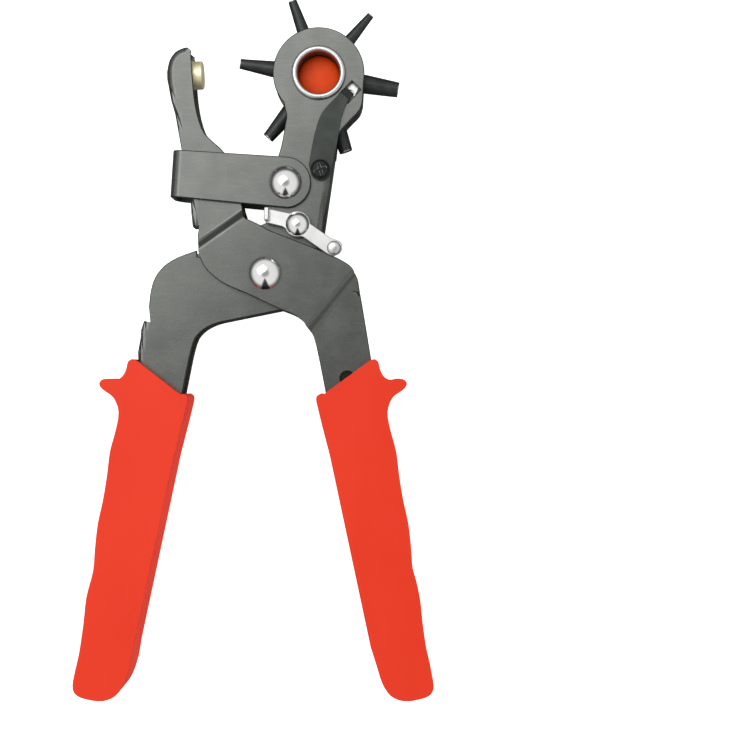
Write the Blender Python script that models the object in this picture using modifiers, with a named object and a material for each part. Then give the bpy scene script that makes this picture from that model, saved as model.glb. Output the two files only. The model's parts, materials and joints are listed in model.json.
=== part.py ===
"""Rotary hole punch: two crossed pressed-steel levers, a turning head with six
punch tubes, a brass anvil, a guide strap, a detent leaf, a lock latch and grips.

Millimetres below are scaled to metres by MM.  X points right and Y towards the
jaws in the plane of the tool, Z points up from the table.  The origin is on the
main pivot's axis, on the table.
"""
import math

import bmesh
import bpy
from mathutils import Matrix, Vector

MM = 0.001
MERGE = 0.00001
CLEARANCE = 0.3

# Levels above the table
MID_LEVEL = 10.8
INNER_LEVEL = 17.8
OUTER_LEVEL = 20.1
STRAP_LEVEL = 19.6
GRIP_LEVEL = 21.6

# Sheet thicknesses and bend radii
LEVER_SHEET = 2.0
STRAP_SHEET = 1.5
LEAF_SHEET = 1.0
LATCH_SHEET = 1.5
LEVER_BEND = 2.5
STRAP_BEND = 3.4
BEND_SEGMENTS = 3

# Axes of the round pieces, seen from the front
STRAP_RIVET_AT = (6.7, 29.7)
LATCH_RIVET_AT = (10.8, 15.8)
DETENT_SCREW_AT = (18.2, 33.9)
WHEEL_AT = (17.6, 65.9)
HANDLE_HOLE_AT = (27.0, -34.6)
DETENT_SLOT_AT = (27.9, 59.6)
DETENT_SLOT_SIZE = (6.0, 4.0)
DETENT_SLOT_TURN = 46.0
HANDLE_HOLE_RADIUS = 2.3
HEAD_RADIUS = 15.1

# Turning head
WHEEL_RADIUS = 14.4
WHEEL_BOTTOM = 6.2
WHEEL_TOP = 15.4
HUB_BORE_RADIUS = 7.95
HUB_BARREL = 7.65
HUB_FLANGE = 8.9
TUBE_TIP_REACH = 26.7
TUBE_SHOULDER = WHEEL_RADIUS + CLEARANCE
TUBE_STEM_START = 11.4
TUBE_BORE_DEPTH = 8.0
ACTIVE_TUBE_ANGLE = 170.0
DIMPLE_REACH = 12.0

# Punch tubes in order round the head: hole, tip and base diameters
TUBE_SIZES = (
    ("2_0", 2.0, 2.4, 4.0, -2),
    ("2_5", 2.5, 2.9, 4.3, -1),
    ("3_0", 3.0, 3.4, 5.4, 0),
    ("3_5", 3.5, 3.9, 5.7, 1),
    ("4_0", 4.0, 4.4, 6.0, 2),
    ("4_5", 4.5, 5.0, 6.3, 3),
)

# Anvil
ANVIL_FACE_AT = (-21.0, 66.3)
ANVIL_TURN = 2.0
ANVIL_RADIUS = 4.7
ANVIL_SHANK = 2.0
ANVIL_BODY_DEPTH = 7.8
ANVIL_SPINE_DEPTH = 10.0

# Rivets and the sleeves on them
MAIN_SHANK = 4.0
MAIN_HEAD = 5.5
STRAP_SHANK = 2.5
STRAP_HEAD = 5.4
LATCH_SHANK = 2.0
LATCH_HEAD = 3.8
SCREW_SHANK = 1.3
SCREW_HEAD = 3.3
SCREW_RECESS = (4.4, 1.1, 2.4)
SCREW_TURN = 20.0
REAR_HEAD_TOP = 1.2
STRAP_REAR_HEAD_TOP = 1.7
BUSH_LOW = 6.1
BUSH_HIGH = 15.5

# Torsion spring on the main pivot
COIL_RADIUS = 7.3
WIRE_RADIUS = 0.75
COIL_TURNS = 3
COIL_LOW = 7.75
COIL_HIGH = 13.85
LEFT_LEG_END = (-37.2, -18.6)
RIGHT_LEG_END = (29.4, -17.5)
POINTS_PER_TURN = 14

# Detent leaf, measured along its bend direction from the middle of its slot
LEAF_DIRECTION = Vector((0.695, 0.719))
LEAF_BEND_START = -2.4
LEAF_TIP_DROP = 2.0
LEAF_TIP_REACH = 0.2

# Lock latch
LATCH_BOTTOM = OUTER_LEVEL + CLEARANCE
LATCH_TOP = LATCH_BOTTOM + LATCH_SHEET

# Joggles of the anvil lever: direction from the pivot, start and end distance
JOGGLE_RUN = 3.6
JOGGLE_STEPS = 4
JAW_JOGGLE = (Vector((-0.579, 0.816)), 18.3)
HANDLE_JOGGLE = (Vector((0.765, -0.644)), 21.2)

# Grips are mirror images about this line
GRIP_MIRROR_X = -3.7
GRIP_ROUNDING = 1.8

# Grips: name, if mirrored, and how far the inner side stands from its outline
GRIPS = (("right_grip", False, -0.5), ("left_grip", True, 0.4))


# ---------------------------------------------------------------- outlines

def arc(centre, radius, start_deg, end_deg, count):
    """Points of an arc, both ends included."""
    points = []
    for index in range(count + 1):
        angle = math.radians(start_deg + (end_deg - start_deg) * index / count)
        x = centre[0] + radius * math.cos(angle)
        y = centre[1] + radius * math.sin(angle)
        points.append((x, y))
    return points


def curved(points, steps=3):
    """A smooth curve through the points, with its ends kept."""
    knots = [Vector(point) for point in points]
    tangents = [(knots[1] - knots[0]).normalized()]
    for before, knot, after in zip(knots, knots[1:], knots[2:]):
        reach = (knot - before).length + (after - knot).length
        tangents.append((after - before) / reach)
    tangents.append((knots[-1] - knots[-2]).normalized())
    result = []
    for index in range(len(knots) - 1):
        start, end = knots[index], knots[index + 1]
        chord = (end - start).length
        for step in range(steps):
            share = step / steps
            rise = share * share * (3 - 2 * share)
            leave = share * (1 - share) ** 2 * chord
            arrive = share * share * (share - 1) * chord
            point = start.lerp(end, rise) + tangents[index] * leave
            point += tangents[index + 1] * arrive
            result.append(tuple(point))
    result.append(tuple(knots[-1]))
    return result


def mirrored(points):
    """The outline on the other side of the grips' mirror line."""
    return [(2 * GRIP_MIRROR_X - x, y) for x, y in reversed(points)]


JAW_SPINE = curved([
    (-26.0, 74.75), (-27.4, 74.5), (-29.9, 73.2), (-31.8, 70.4), (-32.5, 66.6),
    (-32.1, 61.6), (-29.8, 52.2), (-27.7, 41.6), (-24.7, 24.0), (-24.1, 15.4),
], 2)
ANVIL_LEVER_LOWER_EDGE = [(-21.7, 15.6)] + curved([
    (-22.2, 12.5), (-21.8, 7.0), (-20.1, 2.4), (-16.7, -1.3), (-12.6, -4.0),
    (-6.0, -6.8),
], 2) + curved([
    (5.3, -12.1), (10.1, -14.1), (13.6, -17.1), (16.0, -21.1), (18.0, -29.7),
], 3) + [(20.0, -40.0), (39.0, -125.0)]
RIGHT_HANDLE_SPINE = [(50.0, -125.0)] + curved([
    (37.3, -44.7), (34.5, -26.1), (31.6, -8.5), (31.2, -6.5),
], 2)
ANVIL_LEVER_UPPER_EDGE = [(28.8, -6.1), (28.8, -5.85), (31.15, -6.2)] + curved([
    (30.5, -1.9), (28.6, 1.7), (25.6, 3.9), (20.6, 6.4),
], 3) + curved([(1.3, 14.0), (-1.6, 15.7), (-7.1, 18.2)], 2) + curved([
    (-7.6, 22.1), (-10.2, 31.0), (-13.3, 39.5), (-16.4, 42.6), (-19.9, 46.0),
    (-21.7, 50.1), (-22.9, 55.1), (-23.6, 60.6), (-24.2, 68.6), (-24.7, 73.6),
], 2)

NECK_LEFT_EDGE = curved([
    (6.4, 54.4), (7.0, 52.0), (6.6, 49.0), (5.2, 41.5), (3.4, 36.0),
], 3) + [
    (0.9, 21.7), (0.9, 16.8), (-3.0, 15.0), (-9.0, 12.0), (-14.5, 7.5),
    (-18.5, 5.0), (-22.35, 5.4), (-22.5, 7.5),
] + curved([
    (-26.0, 6.3), (-29.4, 4.9), (-33.4, 2.3), (-36.3, -1.5), (-37.7, -6.0),
    (-38.3, -11.0),
], 3) + [(-37.8, -16.1)]
LEFT_HANDLE_SPINE = curved([
    (-40.2, -15.6), (-41.5, -22.1), (-42.2, -29.2), (-44.7, -44.7),
], 2) + [(-57.4, -125.0)]
PUNCH_LEVER_LOWER_EDGE = [(-46.4, -125.0), (-27.4, -40.0)] + curved([
    (-24.9, -27.5), (-23.1, -21.6), (-20.3, -18.6), (-16.2, -16.6), (-11.0, -15.4),
], 3) + [(5.3, -12.1), (11.0, -10.0), (15.5, -5.5), (16.3, 5.4)]
NECK_SPINE = [(18.7, 5.2), (19.3, 14.0), (21.2, 26.9), (22.9, 38.0)]
NECK_RIGHT_EDGE = [(20.5, 38.4), (20.6, 38.7), (23.1, 38.4)] + curved([
    (23.4, 41.0), (24.1, 45.6), (28.1, 50.4), (31.1, 53.6), (32.1, 56.5),
], 3)
HEAD_ARC = arc(WHEEL_AT, HEAD_RADIUS, -9.0, 221.0, 32)

STRAP_FOLD = [(-30.4, 40.5), (-31.4, 25.1)]
STRAP_END = arc(STRAP_RIVET_AT, 8.4, -84.0, 84.0, 18)

LEAF_ROOT = arc(DETENT_SCREW_AT, 3.4, 190.0, 350.0, 10)
LEAF_EDGES = curved([
    (22.4, 36.9), (23.8, 43.3), (25.0, 51.0), (26.6, 55.5), (28.11, 57.81),
], 2) + [(29.26, 59.0), (26.96, 61.22)] + curved([
    (25.81, 60.03), (21.7, 56.1), (18.7, 52.6), (17.0, 48.4), (15.5, 42.0),
    (14.4, 35.6),
], 2)

GRIP_INNER_SIDE = [(19.8, -39.9)] + curved([
    (18.6, -39.7), (17.5, -40.6), (17.5, -42.6), (21.9, -60.1),
], 3) + [(35.2, -122.5)]
GRIP_OUTER_SIDE = curved([
    (36.6, -128.5), (38.6, -134.6), (41.4, -138.6), (45.6, -140.2), (50.3, -139.7),
    (53.9, -138.4), (55.3, -136.2), (54.9, -132.0), (53.3, -125.0), (51.8, -115.0),
    (50.8, -106.1), (48.6, -97.5), (48.0, -90.2), (47.1, -82.3), (45.4, -74.4),
    (44.1, -66.5), (43.1, -58.5), (41.2, -51.4), (40.3, -45.5), (42.0, -40.9),
    (45.6, -38.2), (46.6, -36.5), (45.8, -35.1), (43.6, -34.7), (41.0, -35.1),
    (39.0, -33.9), (37.8, -31.6), (37.2, -29.2), (36.0, -28.3),
], 3) + [(34.6, -28.7)]
RIGHT_GRIP_CAVITY = [
    (17.0, -26.0), (19.6, -40.0), (38.6, -125.5), (50.5, -125.5), (37.8, -44.7),
    (34.5, -22.0),
]


# ---------------------------------------------------------------- helpers

def clear_scene():
    for old in list(bpy.data.objects):
        bpy.data.objects.remove(old, do_unlink=True)


def new_collection(name):
    collection = bpy.data.collections.new(name)
    bpy.context.scene.collection.children.link(collection)
    return collection


def new_material(name, color, roughness, metallic):
    material = bpy.data.materials.new(name)
    material.use_nodes = True
    shader = material.node_tree.nodes["Principled BSDF"]
    shader.inputs["Base Color"].default_value = (*color, 1.0)
    shader.inputs["Roughness"].default_value = roughness
    shader.inputs["Metallic"].default_value = metallic
    return material


def place(name, mesh, finish, location=(0, 0, 0), rotation=(0, 0, 0)):
    """Add a sub-part with its own material; location is in millimetres."""
    part = bpy.data.objects.new(name, mesh)
    part.location = [value * MM for value in location]
    part.rotation_euler = [math.radians(angle) for angle in rotation]
    mesh.materials.append(new_material(name, *FINISHES[finish]))
    PARTS.objects.link(part)
    return part


def flat_outline_mesh(name, outline, thickness):
    """A filled 2D curve as a mesh, its mid-plane at zero."""
    curve = bpy.data.curves.new(name, "CURVE")
    curve.dimensions = "2D"
    curve.fill_mode = "BOTH"
    curve.extrude = thickness / 2 * MM
    spline = curve.splines.new("POLY")
    spline.points.add(len(outline) - 1)
    for point, (x, y) in zip(spline.points, outline):
        point.co = (x * MM, y * MM, 0, 1)
    spline.use_cyclic_u = True
    holder = bpy.data.objects.new(name, curve)
    bpy.context.scene.collection.objects.link(holder)
    evaluated = holder.evaluated_get(bpy.context.evaluated_depsgraph_get())
    mesh = bpy.data.meshes.new_from_object(evaluated)
    bpy.data.objects.remove(holder, do_unlink=True)
    sheet = bmesh.new()
    sheet.from_mesh(mesh)
    bmesh.ops.remove_doubles(sheet, verts=sheet.verts, dist=MERGE)
    if thickness > 0:
        bmesh.ops.recalc_face_normals(sheet, faces=sheet.faces)
    sheet.to_mesh(mesh)
    sheet.free()
    return mesh


def plate(name, outline, low, high, finish, origin=(0, 0)):
    """A flat piece cut from an outline, between two levels."""
    local = [(x - origin[0], y - origin[1]) for x, y in outline]
    mesh = flat_outline_mesh(name, local, high - low)
    return place(name, mesh, finish, (*origin, (low + high) / 2))


def edge_in_run(edge, run):
    """True if both ends of the edge are neighbouring points of the run."""
    ends = [vert.co.xy / MM for vert in edge.verts]
    for first, second in zip(run, run[1:]):
        first = Vector(first)
        second = Vector(second)
        for start, end in ((first, second), (second, first)):
            if (ends[0] - start).length < 0.01 and (ends[1] - end).length < 0.01:
                return True
    return False


def cut_sheet(sheet, direction, distance):
    """Cut the flat sheet along a line at a distance from the origin."""
    normal = Vector((direction.x, direction.y, 0))
    geometry = sheet.verts[:] + sheet.edges[:] + sheet.faces[:]
    bmesh.ops.bisect_plane(
        sheet, geom=geometry, dist=MERGE / 10,
        plane_co=normal.normalized() * distance * MM, plane_no=normal,
    )


def folded_sheet(name, outline, folds, level, cuts, thickness, bend, finish):
    """A pressed sheet with side walls folded down to the mid-plane and mirrored.

    folds are the runs of the outline that carry a wall, level gives the height
    of the sheet's outer face at a point, and cuts are its bend lines.
    """
    mesh = flat_outline_mesh(name, outline, 0)
    sheet = bmesh.new()
    sheet.from_mesh(mesh)
    bmesh.ops.dissolve_limit(
        sheet, angle_limit=0.001, use_dissolve_boundaries=False,
        verts=sheet.verts, edges=sheet.edges,
    )
    for direction, distance in cuts:
        cut_sheet(sheet, direction, distance)
    for vert in sheet.verts:
        vert.co.z = (level(vert.co.xy / MM) - MID_LEVEL) * MM
    fold_edges = []
    for edge in sheet.edges:
        if any(edge_in_run(edge, run) for run in folds):
            fold_edges.append(edge)
    if fold_edges:
        made = bmesh.ops.extrude_edge_only(sheet, edges=fold_edges)["geom"]
        for item in made:
            if isinstance(item, bmesh.types.BMVert):
                item.co.z = 0
        bmesh.ops.bevel(
            sheet, geom=fold_edges, offset=bend * MM, offset_type="OFFSET",
            segments=BEND_SEGMENTS, profile=0.5, affect="EDGES",
        )
    bmesh.ops.recalc_face_normals(sheet, faces=sheet.faces)
    largest = max(sheet.faces, key=lambda face: face.calc_area())
    if largest.normal.z < 0:
        bmesh.ops.reverse_faces(sheet, faces=sheet.faces)
    sheet.to_mesh(mesh)
    sheet.free()
    part = place(name, mesh, finish, (0, 0, MID_LEVEL))
    if fold_edges:
        mirror = part.modifiers.new("other wall", "MIRROR")
        mirror.use_axis = (False, False, True)
        mirror.merge_threshold = MERGE
    solid = part.modifiers.new("sheet", "SOLIDIFY")
    solid.thickness = thickness * MM
    solid.offset = -1
    solid.use_even_offset = True
    return part


def turned(name, profile, finish, location, rotation=(0, 0, 0), steps=24, ring=False):
    """A turned piece; the profile's outer side runs from the top down."""
    verts = [(radius * MM, 0, height * MM) for radius, height in profile]
    edges = [(index, index + 1) for index in range(len(verts) - 1)]
    if ring:
        edges.append((len(verts) - 1, 0))
    mesh = bpy.data.meshes.new(name)
    mesh.from_pydata(verts, edges, [])
    part = place(name, mesh, finish, location, rotation)
    screw = part.modifiers.new("turn", "SCREW")
    screw.steps = steps
    screw.render_steps = steps
    screw.use_merge_vertices = True
    screw.merge_threshold = MERGE
    screw.use_smooth_shade = True
    return part


def round_cut(centre, radius, length, axis=(0, 0, 1), sides=24):
    """One round cutter: centre in millimetres, along an axis."""
    turn = Vector((0, 0, 1)).rotation_difference(Vector(axis)).to_matrix().to_4x4()
    return ("round", Vector(centre), turn, radius, length, sides)


def box_cut(centre, size, turn_deg):
    """One box cutter turned about Z."""
    turn = Matrix.Rotation(math.radians(turn_deg), 4, "Z")
    return ("box", Vector(centre), turn, Vector(size))


def cut(part, shapes):
    """Subtract the shapes from a part with one Boolean."""
    cutter_mesh = bmesh.new()
    for shape in shapes:
        kind, centre, turn = shape[0], shape[1], shape[2]
        matrix = Matrix.Translation(centre * MM) @ turn
        if kind == "round":
            radius, length, sides = shape[3], shape[4], shape[5]
            bmesh.ops.create_cone(
                cutter_mesh, cap_ends=True, segments=sides, radius1=radius * MM,
                radius2=radius * MM, depth=length * MM, matrix=matrix,
            )
        else:
            sized = matrix @ Matrix.Diagonal((*(shape[3] * MM), 1))
            bmesh.ops.create_cube(cutter_mesh, size=1, matrix=sized)
    mesh = bpy.data.meshes.new(part.name + "_cutter")
    cutter_mesh.to_mesh(mesh)
    cutter_mesh.free()
    cutter = bpy.data.objects.new(part.name + "_cutter", mesh)
    subtract(part, cutter)


def subtract(part, cutter):
    """Keep the cutter out of the picture and cut the part with it."""
    cutter.display_type = "WIRE"
    cutter.hide_render = True
    CUTTERS.objects.link(cutter)
    boolean = part.modifiers.new("cut", "BOOLEAN")
    boolean.operation = "DIFFERENCE"
    boolean.object = cutter


def through(point, radius, sides=24):
    """A round cutter through the whole thickness of the tool."""
    return round_cut((*point, MID_LEVEL), radius, 40, sides=sides)


def front_only(point, radius, sides=16):
    """A round cutter through the front wall only."""
    return round_cut((*point, INNER_LEVEL), radius, 6, sides=sides)


def round_edges(part, width, segments=2, angle=40):
    bevel = part.modifiers.new("rounded", "BEVEL")
    bevel.width = width * MM
    bevel.segments = segments
    bevel.limit_method = "ANGLE"
    bevel.angle_limit = math.radians(angle)


def dome(radius, base, height, count=5):
    """Profile of a domed head from its crown to its rim."""
    points = []
    for index in range(count + 1):
        angle = math.pi / 2 * index / count
        points.append((radius * math.sin(angle), base + height * math.cos(angle)))
    return points


# ---------------------------------------------------------------- levers

def inner_level(point):
    return INNER_LEVEL


def anvil_lever_level(point):
    """Raised round the pivot, joggled down to the jaw and to the handle."""
    drop = 0.0
    for direction, start in (JAW_JOGGLE, HANDLE_JOGGLE):
        distance = point.dot(direction.normalized())
        share = min(1.0, max(0.0, (distance - start) / JOGGLE_RUN))
        drop = max(drop, share * share * (3 - 2 * share))
    return OUTER_LEVEL - (OUTER_LEVEL - INNER_LEVEL) * drop


def make_anvil_lever():
    outline = JAW_SPINE + ANVIL_LEVER_LOWER_EDGE + RIGHT_HANDLE_SPINE
    outline = outline + ANVIL_LEVER_UPPER_EDGE
    cuts = []
    for direction, start in (JAW_JOGGLE, HANDLE_JOGGLE):
        for step in range(JOGGLE_STEPS + 1):
            cuts.append((direction, start + JOGGLE_RUN * step / JOGGLE_STEPS))
    lever = folded_sheet(
        "anvil_lever", outline, [JAW_SPINE, RIGHT_HANDLE_SPINE],
        anvil_lever_level, cuts, LEVER_SHEET, LEVER_BEND, "painted steel",
    )
    turn = math.radians(ANVIL_TURN)
    axis = (math.cos(turn), math.sin(turn), 0)
    spine_x = ANVIL_FACE_AT[0] - ANVIL_SPINE_DEPTH * axis[0]
    spine_y = ANVIL_FACE_AT[1] - ANVIL_SPINE_DEPTH * axis[1]
    cut(lever, [
        through((0, 0), MAIN_SHANK + CLEARANCE),
        front_only(HANDLE_HOLE_AT, HANDLE_HOLE_RADIUS, 24),
        round_cut((spine_x, spine_y, MID_LEVEL), ANVIL_SHANK + CLEARANCE, 6, axis, 16),
    ])


def make_punch_lever():
    outline = NECK_LEFT_EDGE + LEFT_HANDLE_SPINE + PUNCH_LEVER_LOWER_EDGE + NECK_SPINE
    outline = outline + NECK_RIGHT_EDGE + HEAD_ARC
    lever = folded_sheet(
        "punch_lever", outline, [LEFT_HANDLE_SPINE, NECK_SPINE],
        inner_level, [], LEVER_SHEET, LEVER_BEND, "painted steel",
    )
    cut(lever, [
        through((0, 0), MAIN_SHANK + CLEARANCE),
        through(STRAP_RIVET_AT, STRAP_SHANK + CLEARANCE),
        through(WHEEL_AT, HUB_BORE_RADIUS, 32),
        front_only(LATCH_RIVET_AT, LATCH_SHANK + CLEARANCE),
        front_only(DETENT_SCREW_AT, SCREW_SHANK + CLEARANCE),
        box_cut((*DETENT_SLOT_AT, INNER_LEVEL), (*DETENT_SLOT_SIZE, 6), DETENT_SLOT_TURN),
    ])


def make_grips():
    for name, mirror, shift in GRIPS:
        outline = [(x + shift, y) for x, y in GRIP_INNER_SIDE] + GRIP_OUTER_SIDE
        outline = mirrored(outline) if mirror else outline
        cavity = mirrored(RIGHT_GRIP_CAVITY) if mirror else RIGHT_GRIP_CAVITY
        grip = plate(name, outline, 0, GRIP_LEVEL, "red plastic")
        round_edges(grip, GRIP_ROUNDING, 3)
        half = INNER_LEVEL - MID_LEVEL + CLEARANCE
        mesh = flat_outline_mesh(name + "_cavity", cavity, 2 * half)
        cutter = bpy.data.objects.new(name + "_cavity", mesh)
        cutter.location.z = MID_LEVEL * MM
        subtract(grip, cutter)


def make_guide_strap():
    def level(point):
        return STRAP_LEVEL
    outline = STRAP_FOLD + STRAP_END
    strap = folded_sheet(
        "guide_strap", outline, [STRAP_FOLD], level, [],
        STRAP_SHEET, STRAP_BEND, "painted steel",
    )
    cut(strap, [through(STRAP_RIVET_AT, STRAP_SHANK + CLEARANCE)])


# ---------------------------------------------------------------- rivets and pivots


def through_rivet(name, point, head, shank, under_head, height, rear_top):
    """Domed head in front, shank through the tool, flat head behind."""
    profile = dome(head, under_head + 0.5, height)
    profile += [
        (head, under_head), (shank, under_head), (shank, rear_top), (head, rear_top),
        (head, 0.3), (head - 0.3, 0), (0, 0),
    ]
    return turned(name, profile, "bright steel", (*point, 0))


def make_rivets():
    through_rivet("pivot_rivet", (0, 0), MAIN_HEAD, MAIN_SHANK,
                  OUTER_LEVEL + CLEARANCE, 2.3, REAR_HEAD_TOP)
    through_rivet("strap_rivet", STRAP_RIVET_AT, STRAP_HEAD, STRAP_SHANK,
                  STRAP_LEVEL + CLEARANCE, 2.4, STRAP_REAR_HEAD_TOP)
    under_head = LATCH_TOP + CLEARANCE
    profile = dome(LATCH_HEAD, under_head + 0.4, 1.5)
    profile += [
        (LATCH_HEAD, under_head), (LATCH_SHANK, under_head), (LATCH_SHANK, BUSH_HIGH),
        (3.2, BUSH_HIGH), (3.0, 14.5), (0, 14.5),
    ]
    turned("latch_rivet", profile, "bright steel", (*LATCH_RIVET_AT, 0), steps=20)


def sleeve(name, point, outer, inner, low, high, finish, steps=20):
    profile = [(outer, high), (outer, low), (inner, low), (inner, high)]
    return turned(name, profile, finish, (*point, 0), steps=steps, ring=True)


def make_sleeves():
    sleeve("pivot_bush", (0, 0), 5.9, MAIN_SHANK + CLEARANCE, BUSH_LOW, BUSH_HIGH,
           "plain steel")
    sleeve("strap_spacer", STRAP_RIVET_AT, 4.0, STRAP_SHANK + CLEARANCE, BUSH_LOW,
           BUSH_HIGH, "plain steel")
    sleeve("latch_collar", LATCH_RIVET_AT, 3.9, LATCH_SHANK + CLEARANCE,
           INNER_LEVEL + CLEARANCE, OUTER_LEVEL, "bright steel")


def tangent_angle(end, side):
    """Angle on the coil where a straight leg to the end point leaves it."""
    reach = math.hypot(*end)
    return math.atan2(end[1], end[0]) + side * math.acos(COIL_RADIUS / reach)


def make_return_spring():
    start = tangent_angle(LEFT_LEG_END, -1) % math.tau
    stop = tangent_angle(RIGHT_LEG_END, 1) % math.tau
    sweep = (start - stop) % math.tau + COIL_TURNS * math.tau
    count = round(sweep / math.tau * POINTS_PER_TURN)
    points = [(*LEFT_LEG_END, COIL_LOW)]
    for index in range(count + 1):
        angle = start - sweep * index / count
        height = COIL_LOW + (COIL_HIGH - COIL_LOW) * index / count
        x = COIL_RADIUS * math.cos(angle)
        y = COIL_RADIUS * math.sin(angle)
        points.append((x, y, height))
    points.append((*RIGHT_LEG_END, COIL_HIGH))
    curve = bpy.data.curves.new("return_spring", "CURVE")
    curve.dimensions = "3D"
    curve.bevel_depth = WIRE_RADIUS * MM
    curve.bevel_resolution = 2
    curve.use_fill_caps = True
    spline = curve.splines.new("POLY")
    spline.points.add(len(points) - 1)
    for target, point in zip(spline.points, points):
        target.co = (*[value * MM for value in point], 1)
    place("return_spring", curve, "plain steel")


# ---------------------------------------------------------------- turning head

def make_wheel():
    profile = [
        (WHEEL_RADIUS - 0.6, WHEEL_TOP), (WHEEL_RADIUS, WHEEL_TOP - 0.6),
        (WHEEL_RADIUS, WHEEL_BOTTOM + 0.6), (WHEEL_RADIUS - 0.6, WHEEL_BOTTOM),
        (HUB_BORE_RADIUS, WHEEL_BOTTOM), (HUB_BORE_RADIUS, WHEEL_TOP),
    ]
    wheel = turned("turret_wheel", profile, "plain steel", (*WHEEL_AT, 0), steps=48,
                   ring=True)
    shapes = []
    slot_angle = math.degrees(math.atan2(
        DETENT_SLOT_AT[1] - WHEEL_AT[1], DETENT_SLOT_AT[0] - WHEEL_AT[0]))
    for _, _, _, base, step in TUBE_SIZES:
        angle = math.radians(ACTIVE_TUBE_ANGLE + 60 * step)
        axis = (math.cos(angle), math.sin(angle), 0)
        reach = TUBE_STEM_START - CLEARANCE + 3
        socket = (WHEEL_AT[0] + axis[0] * reach, WHEEL_AT[1] + axis[1] * reach, MID_LEVEL)
        shapes.append(round_cut(socket, base / 2 - 0.4 + CLEARANCE, 6, axis, 16))
        turn = math.radians(slot_angle + 60 * step)
        dimple_x = WHEEL_AT[0] + DIMPLE_REACH * math.cos(turn)
        dimple_y = WHEEL_AT[1] + DIMPLE_REACH * math.sin(turn)
        shapes.append(round_cut((dimple_x, dimple_y, WHEEL_TOP), 1.2, 1.6, sides=12))
    cut(wheel, shapes)


def make_tubes():
    for label, hole, tip, base, step in TUBE_SIZES:
        stem = base / 2 - 0.4
        floor = TUBE_TIP_REACH - TUBE_BORE_DEPTH
        profile = [
            (0, floor), (hole / 2, floor), (hole / 2, TUBE_TIP_REACH),
            (tip / 2, TUBE_TIP_REACH), (tip / 2 + 0.15, TUBE_TIP_REACH - 2.0),
            (base / 2, TUBE_SHOULDER + 1.0), (base / 2, TUBE_SHOULDER),
            (stem, TUBE_SHOULDER), (stem, TUBE_STEM_START), (0, TUBE_STEM_START),
        ]
        angle = ACTIVE_TUBE_ANGLE + 60 * step
        turned("punch_tube_" + label, profile, "black steel",
               (*WHEEL_AT, MID_LEVEL), (0, 90, angle), steps=20)


def make_hub():
    profile = [
        (7.1, 18.9), (7.4, 19.3), (7.9, 19.4), (8.5, 19.2), (HUB_FLANGE, 18.7),
        (HUB_FLANGE, 18.1), (HUB_BARREL, 18.1), (HUB_BARREL, 3.5), (HUB_FLANGE, 3.5),
        (HUB_FLANGE, 2.8), (8.4, 2.4), (7.0, 2.4), (6.9, 3.0), (6.9, 18.2),
    ]
    turned("hub_eyelet", profile, "bright steel", (*WHEEL_AT, 0), steps=40, ring=True)
    disc = [(0, 11.3), (6.2, 11.3), (6.55, 11.0), (6.55, 9.3), (0, 9.3)]
    turned("hub_disc", disc, "orange plastic", (*WHEEL_AT, 0), steps=32)


def make_anvil():
    profile = [
        (0, 0), (ANVIL_RADIUS - 0.4, 0), (ANVIL_RADIUS, -0.4),
        (ANVIL_RADIUS, -ANVIL_BODY_DEPTH), (ANVIL_SHANK, -ANVIL_BODY_DEPTH),
        (ANVIL_SHANK, -11.5), (2.7, -11.5), (2.3, -12.0), (0, -12.0),
    ]
    turned("anvil", profile, "brass", (*ANVIL_FACE_AT, MID_LEVEL), (0, 90, ANVIL_TURN),
           steps=28)


# ---------------------------------------------------------------- detent and latch


def make_detent():
    direction = LEAF_DIRECTION.normalized()
    slot = Vector(DETENT_SLOT_AT).dot(direction)
    leaf_top = INNER_LEVEL + CLEARANCE + LEAF_SHEET

    def level(point):
        along = point.dot(direction) - slot - LEAF_BEND_START
        share = along / (LEAF_TIP_REACH - LEAF_BEND_START)
        return leaf_top - LEAF_TIP_DROP * min(1.0, max(0.0, share))

    leaf = folded_sheet(
        "detent_spring", LEAF_ROOT + LEAF_EDGES, [], level,
        [(direction, slot + LEAF_BEND_START)], LEAF_SHEET, 0, "dark steel",
    )
    cut(leaf, [front_only(DETENT_SCREW_AT, SCREW_SHANK + CLEARANCE)])
    under_head = leaf_top + CLEARANCE
    top = under_head + 1.7
    profile = [
        (0, top), (2.4, top - 0.1), (SCREW_HEAD, top - 0.8), (SCREW_HEAD, under_head),
        (SCREW_SHANK, under_head), (SCREW_SHANK, 13.6), (0, 13.2),
    ]
    screw = turned("detent_screw", profile, "black steel", (*DETENT_SCREW_AT, 0))
    recess = (*DETENT_SCREW_AT, top)
    for turn in (SCREW_TURN, SCREW_TURN + 90):
        cut(screw, [box_cut(recess, SCREW_RECESS, turn)])


def make_latch():
    outline = [(2.4, 20.5), (0.8, 20.6), (0.2, 16.6), (0.7, 16.2), (5.8, 15.0)]
    outline += arc(LATCH_RIVET_AT, 4.2, 200.0, 285.0, 6)
    outline += [(12.6, 11.6), (20.2, 6.3)]
    outline += arc((22.6, 8.3), 2.9, 235.0, 400.0, 8)
    outline += [(21.6, 11.3), (15.0, 15.9)]
    outline += arc(LATCH_RIVET_AT, 4.2, 5.0, 125.0, 8)
    latch = plate("lock_latch", outline, LATCH_BOTTOM, LATCH_TOP, "zinc",
                  LATCH_RIVET_AT)
    cut(latch, [through(LATCH_RIVET_AT, LATCH_SHANK + CLEARANCE, 16)])
    turned("latch_knob", dome(2.3, LATCH_TOP + 0.6, 0.9, 4) + [
        (2.3, LATCH_TOP + CLEARANCE), (0, LATCH_TOP + CLEARANCE)],
        "bright steel", (22.7, 8.0, 0), steps=20)
    tab = plate("latch_tab", [(1.5, 16.7), (1.6, 21.2), (0.1, 21.2), (0.0, 16.7)],
                LATCH_TOP + CLEARANCE, LATCH_TOP + 2.2, "zinc")
    round_edges(tab, 0.3, 1)


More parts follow.
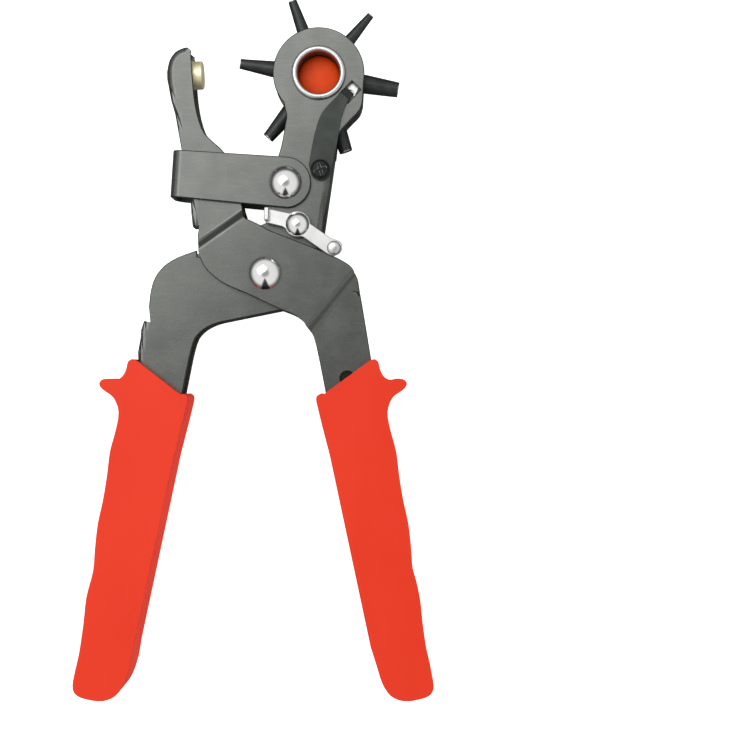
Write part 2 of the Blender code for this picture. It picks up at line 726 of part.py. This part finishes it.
FINISHES = {
    "painted steel": ((0.17, 0.18, 0.17), 0.45, 0.3),
    "red plastic": ((0.78, 0.07, 0.03), 0.4, 0.0),
    "orange plastic": ((0.75, 0.10, 0.02), 0.45, 0.0),
    "bright steel": ((0.75, 0.75, 0.74), 0.15, 1.0),
    "zinc": ((0.85, 0.85, 0.84), 0.3, 1.0),
    "plain steel": ((0.45, 0.45, 0.44), 0.35, 1.0),
    "dark steel": ((0.07, 0.08, 0.07), 0.4, 0.6),
    "black steel": ((0.03, 0.03, 0.03), 0.4, 0.6),
    "brass": ((0.70, 0.50, 0.22), 0.25, 1.0),
}

clear_scene()
PARTS = new_collection("rotary_hole_punch")
CUTTERS = new_collection("cutters")
make_anvil_lever()
make_punch_lever()
make_grips()
make_guide_strap()
make_rivets()
make_sleeves()
make_return_spring()
make_wheel()
make_tubes()
make_hub()
make_anvil()
make_detent()
make_latch()
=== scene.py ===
"""Looks of the rotary hole punch: finer meshes and detailed materials round the CAD frame."""
import json
import math

import bmesh
import bpy
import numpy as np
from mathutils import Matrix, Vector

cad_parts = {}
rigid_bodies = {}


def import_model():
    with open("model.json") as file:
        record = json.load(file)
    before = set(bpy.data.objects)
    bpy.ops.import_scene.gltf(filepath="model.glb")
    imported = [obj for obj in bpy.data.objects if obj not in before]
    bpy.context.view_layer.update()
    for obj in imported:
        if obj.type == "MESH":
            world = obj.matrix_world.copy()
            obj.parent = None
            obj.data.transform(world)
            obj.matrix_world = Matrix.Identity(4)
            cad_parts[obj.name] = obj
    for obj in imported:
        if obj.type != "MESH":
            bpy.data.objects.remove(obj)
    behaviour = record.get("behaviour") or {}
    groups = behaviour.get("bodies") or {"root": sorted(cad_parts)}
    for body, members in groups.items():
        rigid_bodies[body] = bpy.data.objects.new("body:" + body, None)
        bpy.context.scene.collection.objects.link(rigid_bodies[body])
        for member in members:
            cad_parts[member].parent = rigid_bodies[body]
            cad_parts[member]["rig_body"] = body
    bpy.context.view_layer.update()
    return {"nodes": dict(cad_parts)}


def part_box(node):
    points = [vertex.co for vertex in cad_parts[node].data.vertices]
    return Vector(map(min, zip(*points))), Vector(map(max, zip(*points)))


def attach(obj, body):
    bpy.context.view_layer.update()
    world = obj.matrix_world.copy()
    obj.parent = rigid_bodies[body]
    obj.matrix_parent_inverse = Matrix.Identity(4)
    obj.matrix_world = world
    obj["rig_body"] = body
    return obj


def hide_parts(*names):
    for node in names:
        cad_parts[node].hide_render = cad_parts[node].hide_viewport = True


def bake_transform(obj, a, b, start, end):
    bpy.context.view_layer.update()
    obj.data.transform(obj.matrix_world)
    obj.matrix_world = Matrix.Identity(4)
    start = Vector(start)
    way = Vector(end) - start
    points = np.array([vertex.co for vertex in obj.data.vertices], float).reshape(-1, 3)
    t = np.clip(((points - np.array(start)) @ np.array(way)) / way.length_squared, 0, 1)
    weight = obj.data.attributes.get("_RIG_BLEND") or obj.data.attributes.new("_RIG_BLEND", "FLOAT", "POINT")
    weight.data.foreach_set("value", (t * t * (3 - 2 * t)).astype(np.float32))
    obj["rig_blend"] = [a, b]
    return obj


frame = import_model()

MM = 0.001
MERGE = 0.00002
# Radius in millimetres under which a profile point lies on the turning axis
ON_AXIS = 1e-6
MID_LEVEL = 10.8
# A sharp edge as short as this, in millimetres, keeps its neighbours from being rounded
SHORTEST_RIM = 0.45
# Greatest number of sharp edges that may meet at the end of a rounded one
RIM_EDGES = 3
# Angles in degrees: faces joined up as flat, and edges shown sharp
FLAT_ANGLE = 0.6
SHARP_ANGLE = 35
TURNED_SHARP_ANGLE = 32
SPRING_SHARP_ANGLE = 50
# Where the return spring starts and ends its bend, in metres
SPRING_BEND_START = (0.006, -0.0035, 0.0108)
SPRING_BEND_END = (0.026, -0.0155, 0.0108)


# ---------------------------------------------------------------- material helpers

def fill_ramp(node, stops):
    """Set a colour ramp's stops, each a (position, (r, g, b))."""
    elements = node.color_ramp.elements
    while len(elements) < len(stops):
        elements.new(0.5)
    for element, (position, color) in zip(elements, stops):
        element.position = position
        element.color = (*color, 1)


class Nodes:
    """Short names for adding and joining the shader nodes of one material."""

    def __init__(self, name):
        self.material = bpy.data.materials.new(name)
        self.material.use_nodes = True
        self.tree = self.material.node_tree
        self.shader = self.tree.nodes["Principled BSDF"]
        coordinates = self.add("ShaderNodeTexCoord")
        self.position = coordinates.outputs["Object"]
        self.height = None

    def add(self, kind, **settings):
        node = self.tree.nodes.new(kind)
        for key, value in settings.items():
            setattr(node, key, value)
        return node

    def join(self, source, target):
        self.tree.links.new(source, target)

    def stretched(self, scale, turn_deg=0):
        """Object coordinates in metres, scaled along each axis."""
        mapping = self.add("ShaderNodeMapping")
        mapping.inputs["Scale"].default_value = scale
        mapping.inputs["Rotation"].default_value = (0, 0, math.radians(turn_deg))
        self.join(self.position, mapping.inputs["Vector"])
        return mapping.outputs["Vector"]

    def noise(self, scale, detail=3, roughness=0.55, vector=None):
        node = self.add("ShaderNodeTexNoise")
        node.inputs["Scale"].default_value = scale
        node.inputs["Detail"].default_value = detail
        node.inputs["Roughness"].default_value = roughness
        self.join(vector or self.position, node.inputs["Vector"])
        return node.outputs["Fac"]

    def ramp(self, value, stops):
        """Piecewise colours or greys: stops are (position, (r, g, b))."""
        node = self.add("ShaderNodeValToRGB")
        fill_ramp(node, stops)
        self.join(value, node.inputs["Fac"])
        return node.outputs["Color"]

    def span(self, value, low, high, start=0.0, stop=1.0):
        """Map a value from start..stop to low..high."""
        node = self.add("ShaderNodeMapRange")
        for key, number in (("From Min", start), ("From Max", stop),
                            ("To Min", low), ("To Max", high)):
            node.inputs[key].default_value = number
        self.join(value, node.inputs["Value"])
        return node.outputs["Result"]

    def color_mix(self, factor, first, second):
        """Mix two colours; the sockets are the colour ones of the Mix node."""
        node = self.add("ShaderNodeMix", data_type="RGBA")
        sockets = {"Factor": node.inputs[0], "A": node.inputs[6], "B": node.inputs[7]}
        for key, value in (("Factor", factor), ("A", first), ("B", second)):
            if isinstance(value, tuple):
                sockets[key].default_value = (*value, 1)
            elif isinstance(value, (int, float)):
                sockets[key].default_value = value
            else:
                self.join(value, sockets[key])
        return node.outputs[2]

    def bump(self, value, strength, distance):
        """Stack another bump on the surface; distance is in metres."""
        node = self.add("ShaderNodeBump")
        node.inputs["Strength"].default_value = strength
        node.inputs["Distance"].default_value = distance
        self.join(value, node.inputs["Height"])
        if self.height:
            self.join(self.height, node.inputs["Normal"])
        self.height = node.outputs["Normal"]

    def finish(self, color, roughness, metallic=0.0, **constants):
        """Join the colour and roughness; the rest are constants on the shader."""
        for key, value in (("Base Color", color), ("Roughness", roughness),
                           ("Metallic", metallic)):
            if isinstance(value, tuple):
                self.shader.inputs[key].default_value = (*value, 1)
            elif isinstance(value, (int, float)):
                self.shader.inputs[key].default_value = value
            else:
                self.join(value, self.shader.inputs[key])
        for key, value in constants.items():
            self.shader.inputs[key.replace("_", " ")].default_value = value
        if self.height:
            self.join(self.height, self.shader.inputs["Normal"])
        return self.material


def satin_steel(name, low, high, fleck, metallic, grain=0.11):
    """Satin dark grey finish: fine flecks, faint sideways brushing, soft mottling."""
    n = Nodes(name)
    broad = n.noise(70, 4)
    fine = n.noise(2400, 2, 0.6)
    brushed = n.noise(1.0, 4, 0.6, n.stretched((110, 1500, 400), 6))
    base = n.ramp(broad, [(0.3, low), (0.7, high)])
    flecks = n.span(fine, 0.0, 0.22, 0.56, 0.80)
    color = n.color_mix(flecks, base, fleck)
    streaks = n.span(brushed, 0.0, 0.30, 0.50, 0.74)
    color = n.color_mix(streaks, color, fleck)
    n.bump(n.noise(900, 2), grain, 0.00005)
    n.bump(fine, grain * 0.7, 0.00002)
    rough = n.span(n.noise(160, 3), 0.22, 0.30, 0.3, 0.7)
    return n.finish(color, rough, metallic, Specular_IOR_Level=0.5)


def painted_steel():
    return satin_steel("painted_steel", (0.108, 0.113, 0.104), (0.128, 0.134, 0.123),
                       (0.165, 0.17, 0.158), 0.72)


def painted_rim_shade():
    """Painted shade on the rounded rims of the painted steel: the same satin finish made much darker,
    standing in for the shade the rounded cut edges take.
    """
    return satin_steel("painted_rim_shade", (0.016, 0.017, 0.016), (0.030, 0.032, 0.030),
                       (0.07, 0.07, 0.066), 0.30)


def red_plastic():
    """Moulded satin red vinyl: fine grain, soft flow marks, a few small scuffs."""
    n = Nodes("red_plastic")
    flow = n.noise(1.0, 4, 0.5, n.stretched((60, 18, 60), 12))
    base = n.ramp(flow, [(0.25, (0.76, 0.034, 0.008)), (0.75, (0.82, 0.042, 0.013))])
    scuff = n.noise(1.0, 5, 0.7, n.stretched((240, 30, 240), -14))
    scuffs = n.span(scuff, 0.0, 0.16, 0.68, 0.82)
    color = n.color_mix(scuffs, base, (0.88, 0.10, 0.05))
    n.bump(n.noise(1500, 2), 0.16, 0.00004)
    n.bump(flow, 0.06, 0.0003)
    rough = n.span(n.noise(90, 3), 0.40, 0.50, 0.3, 0.7)
    return n.finish(color, rough, 0.0, Specular_IOR_Level=0.22,
                    Subsurface_Weight=0.05, Subsurface_Scale=0.002)


def red_rim_shade():
    """Painted shade for the rounded part of the grips' edges: a deeper red than the flat faces, standing in
    for the shade those rounded edges take.
    """
    n = Nodes("red_rim_shade")
    base = n.ramp(n.noise(180, 3), [(0.3, (0.36, 0.014, 0.006)), (0.7, (0.46, 0.020, 0.009))])
    n.bump(n.noise(1500, 2), 0.16, 0.00004)
    rough = n.span(n.noise(90, 3), 0.40, 0.50, 0.3, 0.7)
    return n.finish(base, rough, 0.0, Specular_IOR_Level=0.25)


def orange_plastic():
    n = Nodes("orange_plastic")
    base = n.ramp(n.noise(300, 3), [(0.3, (0.94, 0.062, 0.004)), (0.7, (0.99, 0.092, 0.008))])
    n.bump(n.noise(1800, 2), 0.2, 0.00004)
    rough = n.span(n.noise(250), 0.40, 0.52, 0.3, 0.7)
    return n.finish(base, rough, 0.0, Specular_IOR_Level=0.15)


def plated(name, low, high, smooth, rough_top, scratch=0.25, swirl=0.04):
    """Bright plating with hairline scratches and a slightly uneven polish."""
    n = Nodes(name)
    base = n.ramp(n.noise(220, 3), [(0.3, low), (0.7, high)])
    hair = n.noise(1.0, 4, 0.65, n.stretched((3200, 160, 900), 33))
    cross = n.noise(1.0, 4, 0.65, n.stretched((140, 2800, 900), 12))
    n.bump(n.noise(260, 2), swirl, 0.0001)
    n.bump(hair, scratch, 0.000006)
    n.bump(cross, scratch, 0.000006)
    rough = n.span(n.noise(500, 4), smooth, rough_top, 0.3, 0.72)
    return n.finish(base, rough, 1.0)


def dark_steel(name, low, high, metallic, level, grain):
    """Blackened steel: faint drawn or turned grain under a matt oxide."""
    n = Nodes(name)
    base = n.ramp(n.noise(200, 4), [(0.3, low), (0.7, high)])
    n.bump(n.noise(1.0, 3, 0.6, n.stretched(grain, -16)), 0.22, 0.00002)
    n.bump(n.noise(1600, 2), 0.12, 0.00003)
    rough = n.span(n.noise(320, 3), 0.32, 0.46, 0.3, 0.7)
    return n.finish(base, rough, metallic, Specular_IOR_Level=level)


def turned_brass():
    """Pale brass with concentric turning rings on its face, slightly tarnished."""
    n = Nodes("turned_brass")
    base = n.ramp(n.noise(180, 4), [(0.3, (0.90, 0.79, 0.47)), (0.7, (0.97, 0.88, 0.60))])
    tarnish = n.span(n.noise(520, 4), 0.0, 0.30, 0.58, 0.78)
    color = n.color_mix(tarnish, base, (0.45, 0.33, 0.17))
    lines = n.noise(1.0, 2, 0.5, n.stretched((260, 260, 4200)))
    n.bump(lines, 0.22, 0.00003)
    rough = n.span(n.noise(400, 3), 0.32, 0.46, 0.3, 0.7)
    return n.finish(color, rough, 0.6)


MATERIALS = {
    "paint": painted_steel(),
    # painted shade for the rounded rims of the painted steel
    "paint_rim_shade": painted_rim_shade(),
    "red": red_plastic(),
    # painted shade for the grips' rounded edges
    "red_rim_shade": red_rim_shade(),
    "orange": orange_plastic(),
    "chrome": plated("chrome", (0.80, 0.80, 0.79), (0.88, 0.88, 0.87), 0.12, 0.19, 0.12),
    "zinc": plated("bright_zinc", (0.54, 0.55, 0.54), (0.63, 0.63, 0.62), 0.28, 0.40, 0.12),
    "steel": plated("plain_steel", (0.44, 0.44, 0.43), (0.56, 0.56, 0.55), 0.24, 0.40),
    "spring": dark_steel("spring_steel", (0.026, 0.031, 0.028), (0.040, 0.047, 0.042),
                         0.45, 0.35, (2400, 200, 900)),
    "spring_rim": dark_steel("spring_rim", (0.15, 0.155, 0.15), (0.23, 0.235, 0.225),
                             0.7, 0.5, (2400, 200, 900)),
    "black": dark_steel("black_steel", (0.020, 0.023, 0.023), (0.040, 0.044, 0.043),
                        0.50, 0.45, (300, 300, 5200)),
    "screw": dark_steel("screw_black", (0.004, 0.0045, 0.0045), (0.008, 0.009, 0.009),
                        0.15, 0.25, (400, 400, 400)),
    "ground": plated("ground_steel", (0.22, 0.22, 0.21), (0.34, 0.34, 0.33), 0.24, 0.40),
    "brass": turned_brass(),
}


# ---------------------------------------------------------------- mesh helpers

def body_of(node):
    return frame["nodes"][node]["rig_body"]


def centre_of(node):
    low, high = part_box(node)
    return (low + high) / 2


def settle(piece, node, finish, extra=()):
    """Give a piece its materials, let it ride and stand for its CAD node."""
    piece.data.materials.clear()
    for key in (finish, *extra):
        piece.data.materials.append(MATERIALS[key])
    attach(piece, body_of(node))
    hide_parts(node)
    return piece


def link(name, data):
    piece = bpy.data.objects.new(name, data)
    bpy.context.scene.collection.objects.link(piece)
    return piece


def smooth_with_sharp(mesh, angle):
    mesh.shade_smooth()
    mesh.set_sharp_from_angle(angle=math.radians(angle))


def weigh_rims(mesh, angle):
    """Mark the sharp edges for the rounding, leaving out those near very short ones."""
    work = bmesh.new()
    work.from_mesh(mesh)
    layer = work.edges.layers.float.new("bevel_weight_edge")
    sharp = set()
    for edge in work.edges:
        if len(edge.link_faces) == 2 and edge.calc_face_angle() > math.radians(angle):
            sharp.add(edge)
    for edge in sharp:
        near = [other for vert in edge.verts for other in vert.link_edges]
        lengths = [other.calc_length() for other in near if other in sharp]
        corners = []
        for vert in edge.verts:
            corners.append(sum(1 for other in vert.link_edges if other in sharp))
        if min(lengths) > SHORTEST_RIM * MM and max(corners) <= RIM_EDGES:
            edge[layer] = 1.0
    work.to_mesh(mesh)
    work.free()


def refined(node, finish, rim=0.35, segments=3, angle=28, rim_material=None, clamp=True):
    """The CAD solid with its flat faces joined up and its rims rounded.

    With clamp, the rounding shrinks to what fits the tightest edge. Without it, the
    rounding has its full width, and rims near very short edges stay sharp.
    """
    mesh = frame["nodes"][node].data.copy()
    work = bmesh.new()
    work.from_mesh(mesh)
    bmesh.ops.remove_doubles(work, verts=work.verts, dist=MERGE)
    bmesh.ops.dissolve_limit(
        work, angle_limit=math.radians(FLAT_ANGLE), verts=work.verts, edges=work.edges)
    work.to_mesh(mesh)
    work.free()
    for name in [a.name for a in mesh.attributes if a.name == "custom_normal"]:
        mesh.attributes.remove(mesh.attributes[name])
    piece = link(node + "_fine", mesh)
    bevel = piece.modifiers.new("rims", "BEVEL")
    bevel.width = rim * MM
    bevel.segments = segments
    if clamp:
        bevel.limit_method = "ANGLE"
        bevel.angle_limit = math.radians(angle)
    else:
        weigh_rims(mesh, angle)
        bevel.limit_method = "WEIGHT"
    bevel.use_clamp_overlap = clamp
    # The rounded rims take the second material; on the painted levers and the grips it is painted shade.
    if rim_material:
        bevel.material = 1
    smooth_with_sharp(mesh, SHARP_ANGLE)
    weighted = piece.modifiers.new("flat faces", "WEIGHTED_NORMAL")
    weighted.keep_sharp = True
    return settle(piece, node, finish, [rim_material] if rim_material else [])


def turned_mesh(name, profile, steps=72, ring=False):
    """A closed turned mesh; the profile (radius, height) runs down its outer side."""
    work = bmesh.new()
    rings = []
    for radius, height in profile:
        if radius < ON_AXIS:
            rings.append([work.verts.new((0, 0, height * MM))])
            continue
        row = []
        for step in range(steps):
            angle = math.tau * step / steps
            x = radius * math.cos(angle) * MM
            y = radius * math.sin(angle) * MM
            row.append(work.verts.new((x, y, height * MM)))
        rings.append(row)
    pairs = list(zip(rings, rings[1:]))
    if ring:
        pairs.append((rings[-1], rings[0]))
    for upper, lower in pairs:
        for step in range(steps):
            after = (step + 1) % steps
            corners = [upper[step % len(upper)], lower[step % len(lower)],
                       lower[after % len(lower)], upper[after % len(upper)]]
            unique = []
            for corner in corners:
                if corner not in unique:
                    unique.append(corner)
            work.faces.new(unique)
    bmesh.ops.recalc_face_normals(work, faces=work.faces)
    mesh = bpy.data.meshes.new(name)
    work.to_mesh(mesh)
    work.free()
    smooth_with_sharp(mesh, TURNED_SHARP_ANGLE)
    return mesh


def turned(node, finish, profile, centre, rotation=None, steps=72, ring=False):
    """A finely turned piece in place of a CAD node; centre is in metres."""
    piece = link(node + "_fine", turned_mesh(node + "_fine", profile, steps, ring))
    piece.location = centre
    if rotation:
        piece.rotation_euler = rotation
    return settle(piece, node, finish)


# ---------------------------------------------------------------- levers, strap, leaf, latch

# The rounded rims of the levers and the strap take a much darker paint: painted shade.
refined("anvil_lever", "paint", 0.30, angle=50, rim_material="paint_rim_shade", clamp=False)
refined("punch_lever", "paint", 0.30, angle=50, rim_material="paint_rim_shade", clamp=False)
refined("guide_strap", "paint", 0.30, angle=50, rim_material="paint_rim_shade", clamp=False)
refined("detent_spring", "spring", 0.15, rim_material="spring_rim")
refined("lock_latch", "zinc", 0.25)
refined("latch_tab", "zinc", 0.20)
refined("turret_wheel", "steel", 0.15)
refined("detent_screw", "screw", 0.13, 2, angle=50, rim_material="steel", clamp=False)
# The grips' rounded edges take a darker red: painted shade.
refined("left_grip", "red", 0.55, angle=50, rim_material="red_rim_shade", clamp=False)
refined("right_grip", "red", 0.55, angle=50, rim_material="red_rim_shade", clamp=False)


# ---------------------------------------------------------------- rivets and turned pieces

# How full the rivets' crowns are: 2 is a parabola, and more is flatter on top
CROWN_POWER = 2.2
CROWN_STEPS = 14


def domed_head(radius, base, height):
    """A lens-shaped crown from its middle to its rim."""
    points = []
    for index in range(CROWN_STEPS + 1):
        share = index / CROWN_STEPS
        points.append((radius * share, base + height * (1 - share ** CROWN_POWER)))
    return points


def rivet(node, head_base, edge=0.5):
    """Domed head on a shank with a flat closing head, sized from the CAD solid."""
    low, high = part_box(node)
    centre = (low + high) / 2
    radius = (high.x - low.x) / 2 / MM
    top = high.z / MM
    bottom = low.z / MM
    profile = domed_head(radius - 0.15, head_base + edge, top - head_base - edge)
    profile += [
        (radius, head_base + edge * 0.6), (radius, head_base + 0.1), (radius - 0.1, head_base),
        (radius * 0.5, head_base), (radius * 0.5, bottom + 1.2), (radius - 0.2, bottom + 1.2),
        (radius, bottom + 1.0), (radius, bottom + 0.4), (radius - 0.4, bottom), (0, bottom),
    ]
    return turned(node, "chrome", profile, (centre.x, centre.y, 0))


rivet("pivot_rivet", 20.2)
rivet("strap_rivet", 19.7)
rivet("latch_rivet", 22.0, 0.4)

for sleeve_node in ("pivot_bush", "strap_spacer"):
    refined(sleeve_node, "steel", 0.1, 2, 50)


def make_return_spring():
    """The torsion spring; its right leg bends along with the anvil lever."""
    mesh = frame["nodes"]["return_spring"].data.copy()
    piece = link("return_spring_fine", mesh)
    smooth_with_sharp(mesh, SPRING_SHARP_ANGLE)
    mesh.materials.clear()
    mesh.materials.append(MATERIALS["steel"])
    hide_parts("return_spring")
    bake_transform(piece, "punch_side", "anvil_side", SPRING_BEND_START, SPRING_BEND_END)


make_return_spring()
refined("latch_collar", "zinc", 0.2, 2, 50)
refined("latch_knob", "zinc", 0.1, 2, 50)
refined("anvil", "brass", 0.2, 3, 50)

WHEEL_CENTRE = centre_of("turret_wheel")
# Inside this radius the eyelet's wall takes the dark spring steel: painted shade down the bore
EYELET_BORE = 6.97


def make_hub_eyelet():
    """The bright rolled eyelet through the wheel, with painted shade down its bore, which takes the dark
    spring steel.
    """
    profile = [(6.95, 18.2), (7.0, 18.6), (7.1, 18.9), (7.25, 19.15), (7.45, 19.32)]
    profile += [(7.9, 19.4), (8.3, 19.3), (8.6, 19.1), (8.8, 18.85), (8.9, 18.6)]
    profile += [(8.9, 18.2), (8.8, 18.1), (7.65, 18.1), (7.65, 3.5), (8.8, 3.5)]
    profile += [(8.9, 3.4), (8.9, 2.9), (8.7, 2.6), (8.4, 2.4), (7.1, 2.4), (6.95, 2.6)]
    profile += [(6.9, 3.0), (6.9, 17.8)]
    eyelet = turned("hub_eyelet", "zinc", profile, (WHEEL_CENTRE.x, WHEEL_CENTRE.y, 0),
                    steps=96, ring=True)
    # Painted shade: the bore wall takes the dark spring steel.
    eyelet.data.materials.append(MATERIALS["spring"])
    for face in eyelet.data.polygons:
        if math.hypot(face.center.x, face.center.y) < EYELET_BORE * MM:
            face.material_index = 1


make_hub_eyelet()
turned("hub_disc", "orange", [
    (0, 11.45), (3.5, 11.4), (5.6, 11.25), (6.3, 11.1), (6.7, 10.8), (6.82, 10.4),
    (6.82, 9.5), (6.6, 9.3), (0, 9.3),
], (WHEEL_CENTRE.x, WHEEL_CENTRE.y, 0), steps=96)

# Punch tubes: hole, tip and base diameters
TUBE_ENDS = {
    "2_0": (2.0, 2.4, 4.0), "2_5": (2.5, 2.9, 4.3), "3_0": (3.0, 3.4, 5.4),
    "3_5": (3.5, 3.9, 5.7), "4_0": (4.0, 4.4, 6.0), "4_5": (4.5, 5.0, 6.3),
}
TUBE_START = 11.4
TUBE_SHOULDER = 14.7
TUBE_TIP = 26.7
TUBE_FLOOR = 18.7
# Length of the ground cutting edge
TUBE_GROUND = 0.35


def make_tube(label):
    """One punch tube, turned along its own axis and laid out from the wheel."""
    hole, tip, base = TUBE_ENDS[label]
    node = "punch_tube_" + label
    stem = base / 2 - 0.4
    profile = [(0, TUBE_FLOOR), (hole / 2, TUBE_FLOOR), (hole / 2, TUBE_TIP - 0.25)]
    profile += [(hole / 2 + 0.06, TUBE_TIP - 0.02), (tip / 2 - 0.03, TUBE_TIP)]
    profile += [(tip / 2 + 0.02, TUBE_TIP - 0.3), (tip / 2 + 0.15, TUBE_TIP - 2.0)]
    profile += [(base / 2 - 0.02, TUBE_SHOULDER + 1.2), (base / 2, TUBE_SHOULDER + 0.9)]
    profile += [(base / 2, TUBE_SHOULDER + 0.2), (base / 2 - 0.15, TUBE_SHOULDER)]
    profile += [(stem, TUBE_SHOULDER), (stem, TUBE_START), (0, TUBE_START)]
    out = centre_of(node) - WHEEL_CENTRE
    turn = (0, math.radians(90), math.atan2(out.y, out.x))
    place = (WHEEL_CENTRE.x, WHEEL_CENTRE.y, MID_LEVEL * MM)
    piece = turned(node, "black", profile, place, turn, 56)
    piece.data.materials.append(MATERIALS["ground"])
    for face in piece.data.polygons:
        if face.center.z > (TUBE_TIP - TUBE_GROUND) * MM:
            face.material_index = 1


for tube_label in TUBE_ENDS:
    make_tube(tube_label)


# ---------------------------------------------------------------- floor, light and camera

CAMERA_HEIGHT = 0.5608
CAMERA_X = 0.0368
CAMERA_Y = -0.0342
SENSOR_WIDTH = 36.0
LENS = 78.8
CLIP_START = 0.01
FLOOR_SIZE = 1.5
FLOOR_DROP = 0.0003
FLOOR_GLOW = 1.0
# The soft box: place and size in metres, radiance, and its turn in degrees
BOX_PLACE = (-0.38, 0.38, 1.0)
BOX_SIZE = (0.95, 0.80)
BOX_RADIANCE = 2.7
BOX_TURN = 38
# The room's strength, and how far it falls in the dark wedge on the handles' side
ROOM_STRENGTH = 1.0
WEDGE_STRENGTH = 0.03
WEDGE_SPREAD = 1.6
WEDGE_START = -0.62
WEDGE_END = -0.40
# Light of the room by the height of the direction, from the horizon to the zenith
ROOM_LIGHT = ((0.0, 0.05), (0.14, 0.13), (0.34, 0.86), (0.86, 0.90), (0.97, 0.34))


def make_floor():
    """A white floor that glows, so that it takes no shadow and gives no reflection."""
    mesh = bpy.data.meshes.new("floor")
    work = bmesh.new()
    bmesh.ops.create_grid(work, x_segments=1, y_segments=1, size=FLOOR_SIZE)
    work.to_mesh(mesh)
    work.free()
    floor = link("floor", mesh)
    floor.location.z = -FLOOR_DROP
    n = Nodes("floor_white")
    mottled = n.noise(6, 2)
    color = n.ramp(mottled, [(0.3, (0.78, 0.78, 0.775)), (0.7, (0.80, 0.80, 0.795))])
    floor.data.materials.append(n.finish(
        color, 0.8, 0.0, Emission_Color=(1, 1, 1, 1), Emission_Strength=FLOOR_GLOW))
    floor.visible_glossy = False
    floor.visible_shadow = False


def make_soft_box():
    """The one lamp: a soft box overhead that faces straight down."""
    data = bpy.data.lights.new("overhead", "AREA")
    data.shape = "RECTANGLE"
    data.size, data.size_y = BOX_SIZE
    data.energy = BOX_RADIANCE * math.pi * BOX_SIZE[0] * BOX_SIZE[1]
    light = link("overhead", data)
    light.location = BOX_PLACE
    light.rotation_euler.z = math.radians(BOX_TURN)


def make_world():
    """A room bright at middle heights, dim straight above and dark towards the floor."""
    world = bpy.data.worlds.new("studio")
    bpy.context.scene.world = world
    world.use_nodes = True
    tree = world.node_tree

    def add(kind, **settings):
        node = tree.nodes.new(kind)
        for key, value in settings.items():
            setattr(node, key, value)
        return node

    coordinates = add("ShaderNodeTexCoord")
    split = add("ShaderNodeSeparateXYZ")
    tree.links.new(coordinates.outputs["Generated"], split.inputs["Vector"])
    rise = add("ShaderNodeValToRGB")
    fill_ramp(rise, [(height, (value, value, value)) for height, value in ROOM_LIGHT])
    tree.links.new(split.outputs["Z"], rise.inputs["Fac"])
    side = add("ShaderNodeMath", operation="ABSOLUTE")
    tree.links.new(split.outputs["X"], side.inputs[0])
    wedge = add("ShaderNodeMath", operation="MULTIPLY_ADD")
    wedge.inputs[1].default_value = WEDGE_SPREAD
    tree.links.new(side.outputs[0], wedge.inputs[0])
    tree.links.new(split.outputs["Y"], wedge.inputs[2])
    shade = add("ShaderNodeMapRange", interpolation_type="SMOOTHSTEP")
    shade.inputs["From Min"].default_value = WEDGE_START
    shade.inputs["From Max"].default_value = WEDGE_END
    shade.inputs["To Min"].default_value = WEDGE_STRENGTH
    shade.inputs["To Max"].default_value = ROOM_STRENGTH
    tree.links.new(wedge.outputs[0], shade.inputs["Value"])
    background = tree.nodes["Background"]
    tree.links.new(rise.outputs["Color"], background.inputs["Color"])
    tree.links.new(shade.outputs["Result"], background.inputs["Strength"])


def make_camera():
    """The camera looks straight down at the tool, which lies on the floor."""
    data = bpy.data.cameras.new("camera")
    data.sensor_width = SENSOR_WIDTH
    data.lens = LENS
    data.clip_start = CLIP_START
    camera = link("camera", data)
    camera.location = (CAMERA_X, CAMERA_Y, CAMERA_HEIGHT)
    bpy.context.scene.camera = camera


make_floor()
make_world()
make_soft_box()
make_camera()
bpy.context.scene.view_settings.view_transform = "Standard"
